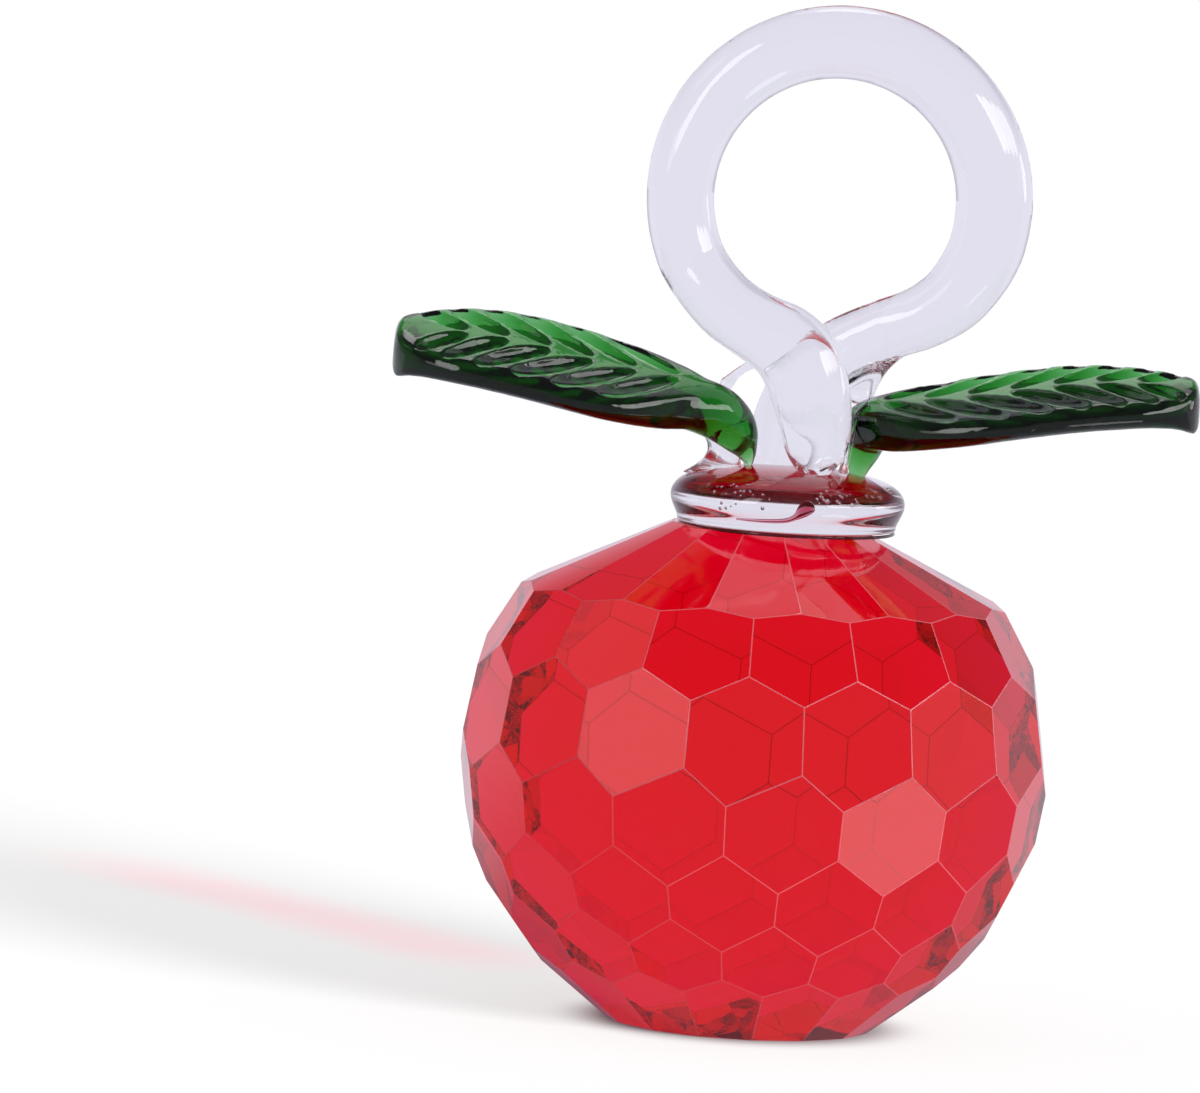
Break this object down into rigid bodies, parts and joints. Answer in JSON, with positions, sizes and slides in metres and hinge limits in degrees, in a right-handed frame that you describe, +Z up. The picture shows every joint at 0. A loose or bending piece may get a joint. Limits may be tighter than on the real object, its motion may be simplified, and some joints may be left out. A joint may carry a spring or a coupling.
{
  "type": "art glass apple",
  "caption": "Faceted red crystal apple on a flat foot, with a clear glass collar, a clear rod stem bent into a ring, and pressed green glass leaves.",
  "frame": {"origin": "middle of the flat foot, on the surface that the apple stands on", "axes": "+Z up through the body, the leaves point along -X and +X, and the ring's face and the crossing front leg look along -Y"},
  "size_m": [0.0819, 0.06, 0.1042],
  "materials": {
    "red_crystal": "cut and polished red crystal, flat facets with fine bright edges",
    "clear_glass": "clear fire-polished glass, smooth, with a few small bubbles",
    "green_glass": "deep green pressed glass, glossy",
    "clear_cement": "clear cured cement"
  },
  "bodies": {
    "root": {"crystal_body": "red_crystal", "adhesive_film": "clear_cement", "collar": "clear_glass", "stem_loop": "clear_glass", "leaf_left": "green_glass", "leaf_right": "green_glass", "tack_left": "clear_glass", "tack_right": "clear_glass"}
  },
  "joints": []
}
